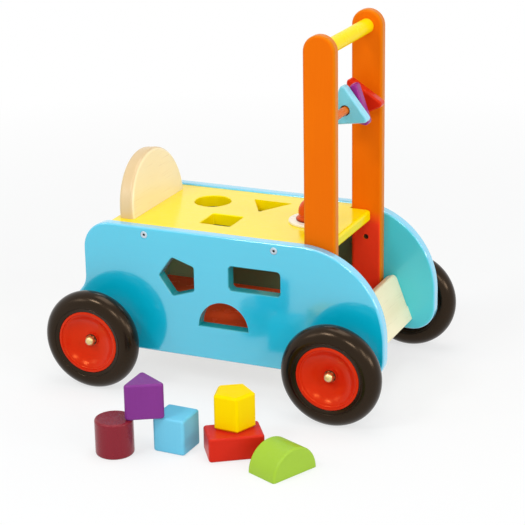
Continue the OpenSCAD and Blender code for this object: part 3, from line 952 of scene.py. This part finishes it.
class Workshop:
    """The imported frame, the paintbox, and the work that every sub-assembly does."""

    def __init__(self, frame: dict) -> None:
        self.nodes: dict[str, bpy.types.Object] = frame["nodes"]
        self.paints = Paintbox()

    def dress(self, node: str, finish: Finish) -> None:
        """Gives one CAD node its finish.

        Args:
            node: Name of the node.
            finish: The finish.
        """
        mesh = self.nodes[node].data
        mesh.materials.clear()
        mesh.materials.append(self.paints.get(finish))
        LOG.info("%s: %s", node, finish.name)

    def solids_of(self, node: str) -> list[tuple[Vector, Vector]]:
        """Boxes of the separate solids in a CAD node, in a steady order.

        Args:
            node: Name of the node.

        Returns:
            The lowest and highest corner of each solid.
        """
        grid = 1e5
        mesh = self.nodes[node].data
        keys = [tuple(round(c * grid) for c in v.co) for v in mesh.vertices]
        parent: dict[tuple, tuple] = {key: key for key in keys}

        def root(key: tuple) -> tuple:
            """Follows a point's chain.

            Args:
                key: The point.

            Returns:
                The top of its chain.
            """
            while parent[key] != key:
                parent[key] = parent[parent[key]]
                key = parent[key]
            return key

        for edge in mesh.edges:
            first, second = (root(keys[i]) for i in edge.vertices)
            parent[first] = second
        boxes: dict[tuple, tuple[Vector, Vector]] = {}
        for key, vertex in zip(keys, mesh.vertices):
            low, high = boxes.setdefault(root(key), (vertex.co.copy(), vertex.co.copy()))
            for axis in range(3):
                low[axis] = min(low[axis], vertex.co[axis])
                high[axis] = max(high[axis], vertex.co[axis])
        return sorted(boxes.values(), key=lambda pair: tuple(round(c, 4) for c in pair[0]))

    def replace(
        self, node: str, name: str, mesh: Mesh, body: str, slot: str, *finishes: Finish
    ) -> None:
        """Turns a mesh in the making into a piece that stands in for a CAD node.

        Args:
            node: Name of the node.
            name: Name of the piece.
            mesh: The mesh, in the shared frame.
            body: CAD body it rides on.
            slot: Material slot of the record; not used.
            finishes: One finish for each material number that its faces use.
        """
        piece = meshed(name, mesh)
        for finish in finishes:
            piece.data.materials.append(self.paints.get(finish))
        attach(piece, body)
        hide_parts(node)
        LOG.info("%s: %d faces on %s", name, len(piece.data.polygons), body)


def turns(count: int) -> list[float]:
    """Angles of a number of even steps round a circle."""
    return [2 * math.pi * step / count for step in range(count)]


def ring(mesh: Mesh, place: Matrix, radii: list[float], height: float = 0.0) -> list[Vert]:
    """Adds a ring of points to a mesh.

    Args:
        mesh: Mesh that gets the points.
        place: Where the ring's axis stands, with its +Z along the axis.
        radii: Distance of each point from the axis, going round it once.
        height: Height of the ring along the axis.

    Returns:
        The points.
    """
    points = (
        Vector((radius * math.cos(turn), radius * math.sin(turn), height))
        for radius, turn in zip(radii, turns(len(radii)))
    )
    return [mesh.verts.new(place @ point) for point in points]


def band(mesh: Mesh, outer: list[Vert], inner: list[Vert], material: int = 0) -> None:
    """Joins two rings with faces: smooth skin, or flat walls of the second material.

    Args:
        mesh: Mesh of the rings.
        outer: The ring further from the axis.
        inner: The other ring, or a single point on the axis.
        material: Material number of the faces.
    """
    for step, corner in enumerate(outer):
        after = (step + 1) % len(outer)
        end = inner if len(inner) == 1 else [inner[after], inner[step]]
        face = mesh.faces.new([corner, outer[after], *end])
        face.smooth = material == 0
        face.material_index = material


def lathe(mesh: Mesh, profile: Outline, place: Matrix, steps: int) -> None:
    """Turns an outline about its own axis and adds the skin to a mesh.

    Args:
        mesh: Mesh that gets the skin.
        profile: Radius and height of each point, from outside to inside. Only the last
            point may lie on the axis.
        place: Where the axis stands, with its +Z along the axis.
        steps: Faces round the axis.
    """
    rings = [
        ring(mesh, place, [radius] * (steps if radius else 1), height)
        for radius, height in profile
    ]
    for outer, inner in zip(rings, rings[1:]):
        band(mesh, outer, inner)


def axis_frame(centre: Vector, outward: Vector) -> Matrix:
    """Placement with its origin at a point and its +Z along a given way."""
    turn = outward.to_track_quat("Z", "Y").to_matrix().to_4x4()
    return Matrix.Translation(centre) @ turn


def side_frame(low: Vector, high: Vector, inset: float) -> Matrix:
    """Placement on a piece of the running gear, with its +Z away from the walker's middle.

    Args:
        low: Lowest corner of the piece.
        high: Highest corner of the piece.
        inset: Metres from its outer end to the origin.

    Returns:
        The placement.
    """
    middle = (low + high) / 2
    way, outer = (NEARWARD, low.y) if middle.y < 0 else (FARWARD, high.y)
    return axis_frame(Vector((middle.x, outer - way.y * inset, middle.z)), way)


# ------------------------ sub-assemblies

Dressing = tuple[tuple[str, Finish], ...]
WHEEL_ENDS = ("rear_near", "rear_far", "front_near", "front_far")


@dataclass
class ScrewHeads:
    """Round screw heads with a hexagon socket, in place of the plain ones of a CAD node."""

    node: str
    slot: str
    head: Finish
    outward: tuple[Vector, Vector]
    rim: float = 0.0007
    deep: float = 0.0018
    steps: int = 48
    socket_share: float = 0.36
    mouth_share: float = 1.10
    floor_share: float = 0.97
    tip_share: float = 1.25

    def build(self, shop: Workshop) -> None:
        """Makes one head for each solid of the node.

        Args:
            shop: The workshop.
        """
        mesh = bmesh.new()
        for low, high in shop.solids_of(self.node):
            self._head(mesh, low, high)
        name = self.node + "_heads"
        shop.replace(self.node, name, mesh, "walker", self.slot, self.head, Paintbox.SOCKET)

    def _head(self, mesh: Mesh, low: Vector, high: Vector) -> None:
        """Adds one head to the mesh.

        Args:
            mesh: Mesh of all the heads.
            low: Lowest corner of the screw.
            high: Highest corner of the screw.
        """
        middle = (low + high) / 2
        outward = self.outward[0] if middle.y < 0 else self.outward[1]
        radius = min(high.x - low.x, high.z - low.z) / 2
        top = Vector((middle.x, high.y if outward.y > 0 else low.y, middle.z))
        place = axis_frame(top, outward)
        socket = radius * self.socket_share
        crown = [
            (radius, -self.deep),
            (radius, -self.rim),
            (radius - 0.25 * self.rim, -0.35 * self.rim),
            (radius - self.rim, -0.08 * self.rim),
            (radius * 0.72, 0.0),
            (socket * 1.22, 0.0),
            (socket * self.mouth_share, -0.1 * self.rim),
        ]
        lathe(mesh, crown, place, self.steps)
        self._socket(mesh, place, socket)

    def _socket(self, mesh: Mesh, place: Matrix, socket: float) -> None:
        """Adds the six-sided recess of one head.

        Args:
            mesh: Mesh of all the heads.
            place: Placement of the head's top.
            socket: Half the width across its corners.
        """
        half = math.pi / 6
        flats = [
            socket * math.cos(half) / math.cos(turn % (2 * half) - half)
            for turn in turns(self.steps)
        ]
        mouth = ring(mesh, place, [socket * self.mouth_share] * self.steps, -0.1 * self.rim)
        lip = ring(mesh, place, flats, -0.3 * self.rim)
        floor = ring(mesh, place, [flat * self.floor_share for flat in flats], -self.deep)
        tip = ring(mesh, place, [0.0], -self.deep * self.tip_share)
        band(mesh, mouth, lip)
        band(mesh, lip, floor, material=1)
        band(mesh, floor, tip, material=1)


@dataclass
class PushCaps:
    """Domed caps pressed on the axles' ends, with claws round their rims."""

    node: str = "axle_caps"
    claws: int = 7
    claw_depth: float = 0.16
    steps: int = 98
    spread: float = 1.26
    dome_share: float = 0.88
    dome_rise: float = 0.8
    arc_step: int = 6
    flange: float = 0.0009

    def build(self, shop: Workshop) -> None:
        """Makes one cap for each solid of the node.

        Args:
            shop: The workshop.
        """
        mesh = bmesh.new()
        for low, high in shop.solids_of(self.node):
            length = high.y - low.y
            place = side_frame(low, high, length)
            self._cap(mesh, place, self.spread * (high.x - low.x) / 2, length)
        shop.replace(self.node, "axle_push_caps", mesh, "walker", "steel", Paintbox.BRASSED)

    def _cap(self, mesh: Mesh, place: Matrix, radius: float, length: float) -> None:
        """Adds one cap to the mesh.

        Args:
            mesh: Mesh of all the caps.
            place: Placement of its inner end, with +Z outwards.
            radius: Radius of its flange.
            length: Its whole length.
        """
        dome = radius * self.dome_share
        round_top = [
            (dome * math.cos(turn), length - dome * self.dome_rise * (1 - math.sin(turn)))
            for turn in map(math.radians, range(0, 90, self.arc_step))
        ]
        profile = [
            (radius, 0.0),
            (radius, self.flange),
            (radius * 0.9, self.flange * 1.6),
            (dome * 1.08, self.flange * 2.0),
            (dome, self.flange * 3.2),
            *round_top,
            (0.0, length),
        ]
        before = len(mesh.verts)
        lathe(mesh, profile, place, self.steps)
        back = place.inverted()
        mesh.verts.ensure_lookup_table()
        for vertex in mesh.verts[before:]:
            local = back @ vertex.co
            out = math.hypot(local.x, local.y)
            if out > dome * 1.02:
                turn = math.atan2(local.y, local.x)
                bite = 0.5 + 0.5 * math.cos(self.claws * turn)
                reach = (out - dome) / (radius - dome)
                share = 1 - self.claw_depth * (1 - bite) ** 2 * reach
                vertex.co = place @ Vector((local.x * share, local.y * share, local.z))


@dataclass
class DishedHub:
    """One moulded hub, with a bowl that is flat in the middle and steep at its wall."""

    end: str
    steps: int = 144
    sharp: float = 0.6
    lip: float = 0.0145
    lip_round: float = 0.00125
    lip_edge: float = 0.03975
    seat: float = 0.039
    step_in: float = 0.008
    barrel: float = 0.032
    hollow: tuple[float, float] = (0.018, 0.029)
    sleeve: float = 0.013
    bore: float = 0.0043
    boss: tuple[float, float] = (0.009, 0.0035)
    wall: float = 0.0032
    bowl: float = 0.0345
    bowl_steps: int = 24
    arc: float = 0.09
    arc_start: float = 0.008
    web: float = 0.0073
    sunk: float = 0.006

    def build(self, shop: Workshop) -> None:
        """Makes the hub in place of the plain one.

        Args:
            shop: The workshop.
        """
        node = "hub_" + self.end
        low, high = (Vector(corner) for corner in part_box(node))
        foot = self.lip - (high.y - low.y)
        mesh = bmesh.new()
        lathe(mesh, self._outline(foot), side_frame(low, high, self.lip), self.steps)
        bmesh.ops.remove_doubles(mesh, verts=mesh.verts, dist=1e-6)
        for edge in mesh.edges:
            if edge.calc_face_angle(0.0) > self.sharp:
                edge.smooth = False
        body = "wheel_" + self.end
        shop.replace(node, node + "_dished", mesh, body, "hub_red", Paintbox.HUB)

    def _depth(self, radius: float) -> float:
        """Height of the bowl's skin at a radius, from the wheel's middle."""
        arc = self.web + self.arc - math.sqrt(self.arc**2 - (radius - self.arc_start) ** 2)
        return arc - self.sunk * (1 - (radius / self.bowl) ** 4)

    def _outline(self, foot: float) -> Outline:
        """Closed outline of the hub, from its sleeve round its lip and back down its bore.

        Args:
            foot: Height of the sleeve's inner end.

        Returns:
            Radius and height of each point.
        """
        inner, outer = self.hollow
        lip_middle = self.lip - self.lip_round
        edge = [
            (self.lip_edge + self.lip_round * math.cos(turn),
             lip_middle + self.lip_round * math.sin(turn))
            for turn in map(math.radians, range(-90, 91, 15))
        ]
        wall = [
            (self.bowl + self.wall * math.cos(turn), self.lip - self.wall * math.sin(turn))
            for turn in map(math.radians, range(0, 90, 9))
        ]
        gap = (self.bowl - self.boss[0]) / self.bowl_steps
        radii = [self.bowl - gap * step for step in range(self.bowl_steps + 1)]
        bowl = [(radius, self._depth(radius)) for radius in radii]
        return [
            (self.bore, foot), (self.sleeve, foot), (self.sleeve, -self.lip),
            (inner, -self.lip), (inner, 0.0), (outer, 0.0), (outer, -self.lip),
            (self.barrel, -self.lip), (self.barrel, -self.step_in),
            (self.seat, -self.step_in), (self.seat, self.lip - 2 * self.lip_round),
            *edge, *wall, *bowl, self.boss, (self.bore, self.boss[1]), (self.bore, foot),
        ]


@dataclass
class Assembly:
    """A sub-assembly: the finishes of its CAD nodes, and the pieces that replace some."""

    finishes: Dressing
    pieces: tuple[ScrewHeads | PushCaps | DishedHub, ...] = ()

    def build(self, shop: Workshop) -> None:
        """Dresses the nodes and makes the pieces.

        Args:
            shop: The workshop.
        """
        for node, finish in self.finishes:
            shop.dress(node, finish)
        for piece in self.pieces:
            piece.build(shop)


@dataclass
class SorterBody(Assembly):
    """Shaped sides, boards and backrest of the box that the blocks go into."""

    finishes: Dressing = (
        ("side_panel_near", Paintbox.SKY),
        ("side_panel_far", Paintbox.SKY),
        ("top_board", Paintbox.YELLOW),
        ("floor_board", Paintbox.FLOOR_RED),
        ("rear_board", Paintbox.REAR_WOOD),
        ("front_board", Paintbox.BOARD_WOOD),
        ("backrest", Paintbox.BACKREST),
    )
    pieces: tuple[ScrewHeads, ...] = tuple(
        ScrewHeads(node, "steel", Paintbox.ZINC, (NEARWARD, FARWARD))
        for node in ("panel_screws", "backrest_screws")
    )


@dataclass
class PushHandle(Assembly):
    """Two uprights with the push bar, the rod of the turning triangles, and bolts inside."""

    finishes: Dressing = (
        ("upright_near", Paintbox.ORANGE),
        ("upright_far", Paintbox.ORANGE),
        ("push_bar", Paintbox.YELLOW_CROSS),
        ("spinner_rod", Paintbox.ORANGE_ROD),
        ("spinner_blue", Paintbox.TURNING_BLUE),
        ("spinner_purple", Paintbox.TURNING_PURPLE),
        ("spinner_red", Paintbox.TURNING_RED),
    )
    pieces: tuple[ScrewHeads, ...] = (
        ScrewHeads("upright_screws", "dark_screw", Paintbox.BROWNED, (FARWARD, NEARWARD)),
    )


@dataclass
class TurningKnob(Assembly):
    """Red knob on its pale disc."""

    finishes: Dressing = (
        ("knob_plate", Paintbox.CREAM),
        ("knob", Paintbox.KNOB),
        ("knob_pin", Paintbox.ZINC),
    )


@dataclass
class RunningGear(Assembly):
    """Axles, washers, domed caps and the four rubber-tyred wheels."""

    finishes: Dressing = (
        ("axle_rear", Paintbox.ZINC),
        ("axle_front", Paintbox.ZINC),
        ("axle_washers", Paintbox.BROWNED),
        *(("tyre_" + end, Paintbox.TYRE) for end in WHEEL_ENDS),
    )
    pieces: tuple[PushCaps | DishedHub, ...] = (PushCaps(), *map(DishedHub, WHEEL_ENDS))


@dataclass
class LooseBlocks(Assembly):
    """The six blocks that go through the sorter's openings."""

    finishes: Dressing = (
        ("block_cylinder", Paintbox.BLOCK_MAROON),
        ("block_cube", Paintbox.BLOCK_BLUE),
        ("block_triangle", Paintbox.BLOCK_PURPLE),
        ("block_brick", Paintbox.BLOCK_RED),
        ("block_pentagon", Paintbox.BLOCK_YELLOW),
        ("block_arch", Paintbox.BLOCK_GREEN),
    )


# ------------------------ studio


@dataclass(frozen=True)
class Lamp:
    """One soft box of the studio."""

    name: str
    place: Triple
    width: float
    height: float
    watts: float


@dataclass
class Studio:
    """Pale floor, white surround, soft boxes and the camera."""

    floor_half: float = 40.0
    floor_sides: int = 96
    floor_tints: tuple[Tint, Tint] = ((234, 235, 235), (238, 239, 239))
    surround: float = 0.55
    glow: float = 0.68
    glow_near: float = 0.5
    glow_far: float = 1.5
    aim: Triple = (0.0, -0.06, 0.16)
    lamps: tuple[Lamp, ...] = (
        Lamp("upper_left_box", (-0.66, -1.67, 1.88), 0.6, 0.35, 12.5),
        Lamp("upper_right_box", (0.83, -1.96, 1.58), 0.6, 0.35, 9.0),
        Lamp("left_box", (-2.0, -2.1, 1.7), 0.8, 0.8, 6.0),
        Lamp("right_box", (2.5, -1.6, 1.7), 0.8, 0.8, 12.0),
        Lamp("top_box", (0.1, 0.2, 2.6), 1.4, 1.4, 17.0),
        Lamp("mouth_box", (2.5, -0.5, 0.85), 0.8, 0.5, 10.0),
    )
    camera_place: Triple = (0.91863, -2.04184, 0.92663)
    camera_right: Triple = (0.91606, 0.40072, -0.01591)
    camera_up: Triple = (-0.11880, 0.30905, 0.94360)
    camera_back: Triple = (0.38303, -0.86250, 0.33072)
    lens: float = 124.73
    sensor: float = 36.0
    clips: tuple[float, float] = (0.05, 200.0)

    def build(self) -> None:
        """Makes the studio."""
        self._floor()
        self._world()
        for lamp in self.lamps:
            self._lamp(lamp)
        self._camera()

    def _seen(self, tree: Tree) -> Socket:
        """Tells whether a ray comes from the camera, a gloss or a glass.

        Args:
            tree: Tree of the material or the world.

        Returns:
            The socket of a 0 or a 1.
        """
        path = tree.add("ShaderNodeLightPath").outputs
        first = tree.sum("MAXIMUM", path["Is Camera Ray"], path["Is Glossy Ray"])
        return tree.sum("MAXIMUM", first, path["Is Transmission Ray"])

    def _floor(self) -> None:
        """Makes the floor, which stays near white and keeps the walker's shadow."""
        mesh = bmesh.new()
        mesh.faces.new(ring(mesh, Matrix(), [self.floor_half] * self.floor_sides))
        floor = meshed("studio_floor", mesh)
        material = bpy.data.materials.new("studio_floor_paint")
        tree = cleared_tree(material)
        place = tree.point()
        grey = tree.blend(tree.noise(place, scale=6.0, detail=3.0), *self.floor_tints)
        matt = tree.add(
            "ShaderNodeBsdfPrincipled",
            {"Base Color": grey, "Roughness": 0.9, "Specular IOR Level": 0.0},
        )
        glow = tree.add("ShaderNodeEmission", {"Color": (1, 1, 1, 1), "Strength": 1.0})
        away = tree.vectors("LENGTH", place)
        fade = tree.span(away, self.glow_near, self.glow_far, self.glow, 1.0)
        share = tree.times(self._seen(tree), fade)
        mixed = tree.add(
            "ShaderNodeMixShader", {0: share, 1: matt.outputs[0], 2: glow.outputs[0]}
        )
        tree.add("ShaderNodeOutputMaterial", {"Surface": mixed.outputs[0]})
        floor.data.materials.append(material)

    def _world(self) -> None:
        """Makes the white surround: plain light, and white where it is seen."""
        world = bpy.data.worlds.new("studio_surround")
        tree = cleared_tree(world)
        strength = tree.plus(self.surround, tree.times(self._seen(tree), 1 - self.surround))
        white = tree.add("ShaderNodeBackground", {"Color": (1, 1, 1, 1), "Strength": strength})
        tree.add("ShaderNodeOutputWorld", {"Surface": white.outputs[0]})
        bpy.context.scene.world = world

    def _lamp(self, lamp: Lamp) -> None:
        """Makes one soft box that faces the walker.

        Args:
            lamp: Its place, size and power.
        """
        data = bpy.data.lights.new(lamp.name, "AREA")
        data.shape = "RECTANGLE"
        data.size, data.size_y = lamp.width, lamp.height
        data.energy = lamp.watts
        box = linked(lamp.name, data)
        box.location = lamp.place
        toward = Vector(self.aim) - Vector(lamp.place)
        box.rotation_mode = "QUATERNION"
        box.rotation_quaternion = toward.to_track_quat("-Z", "Y")

    def _camera(self) -> None:
        """Makes the camera."""
        data = bpy.data.cameras.new("camera")
        data.lens, data.sensor_width = self.lens, self.sensor
        data.clip_start, data.clip_end = self.clips
        camera = linked("camera", data)
        columns = zip(self.camera_right, self.camera_up, self.camera_back, self.camera_place)
        camera.matrix_world = Matrix([*(list(row) for row in columns), [0, 0, 0, 1]])
        bpy.context.scene.camera = camera


def clear_scene() -> None:
    """Takes away whatever the scene starts with."""
    for thing in list(bpy.data.objects):
        bpy.data.objects.remove(thing, do_unlink=True)


def main() -> None:
    """Builds the walker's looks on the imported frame, then the studio."""
    logging.basicConfig(level=logging.INFO, format="%(name)s: %(message)s")
    clear_scene()
    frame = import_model()
    shop = Workshop(frame)
    for assembly in (SorterBody(), PushHandle(), TurningKnob(), RunningGear(), LooseBlocks()):
        assembly.build(shop)
        LOG.info("%s done", type(assembly).__name__)
    Studio().build()
    bpy.context.scene.view_settings.view_transform = "Standard"


if __name__ == "__main__":
    main()
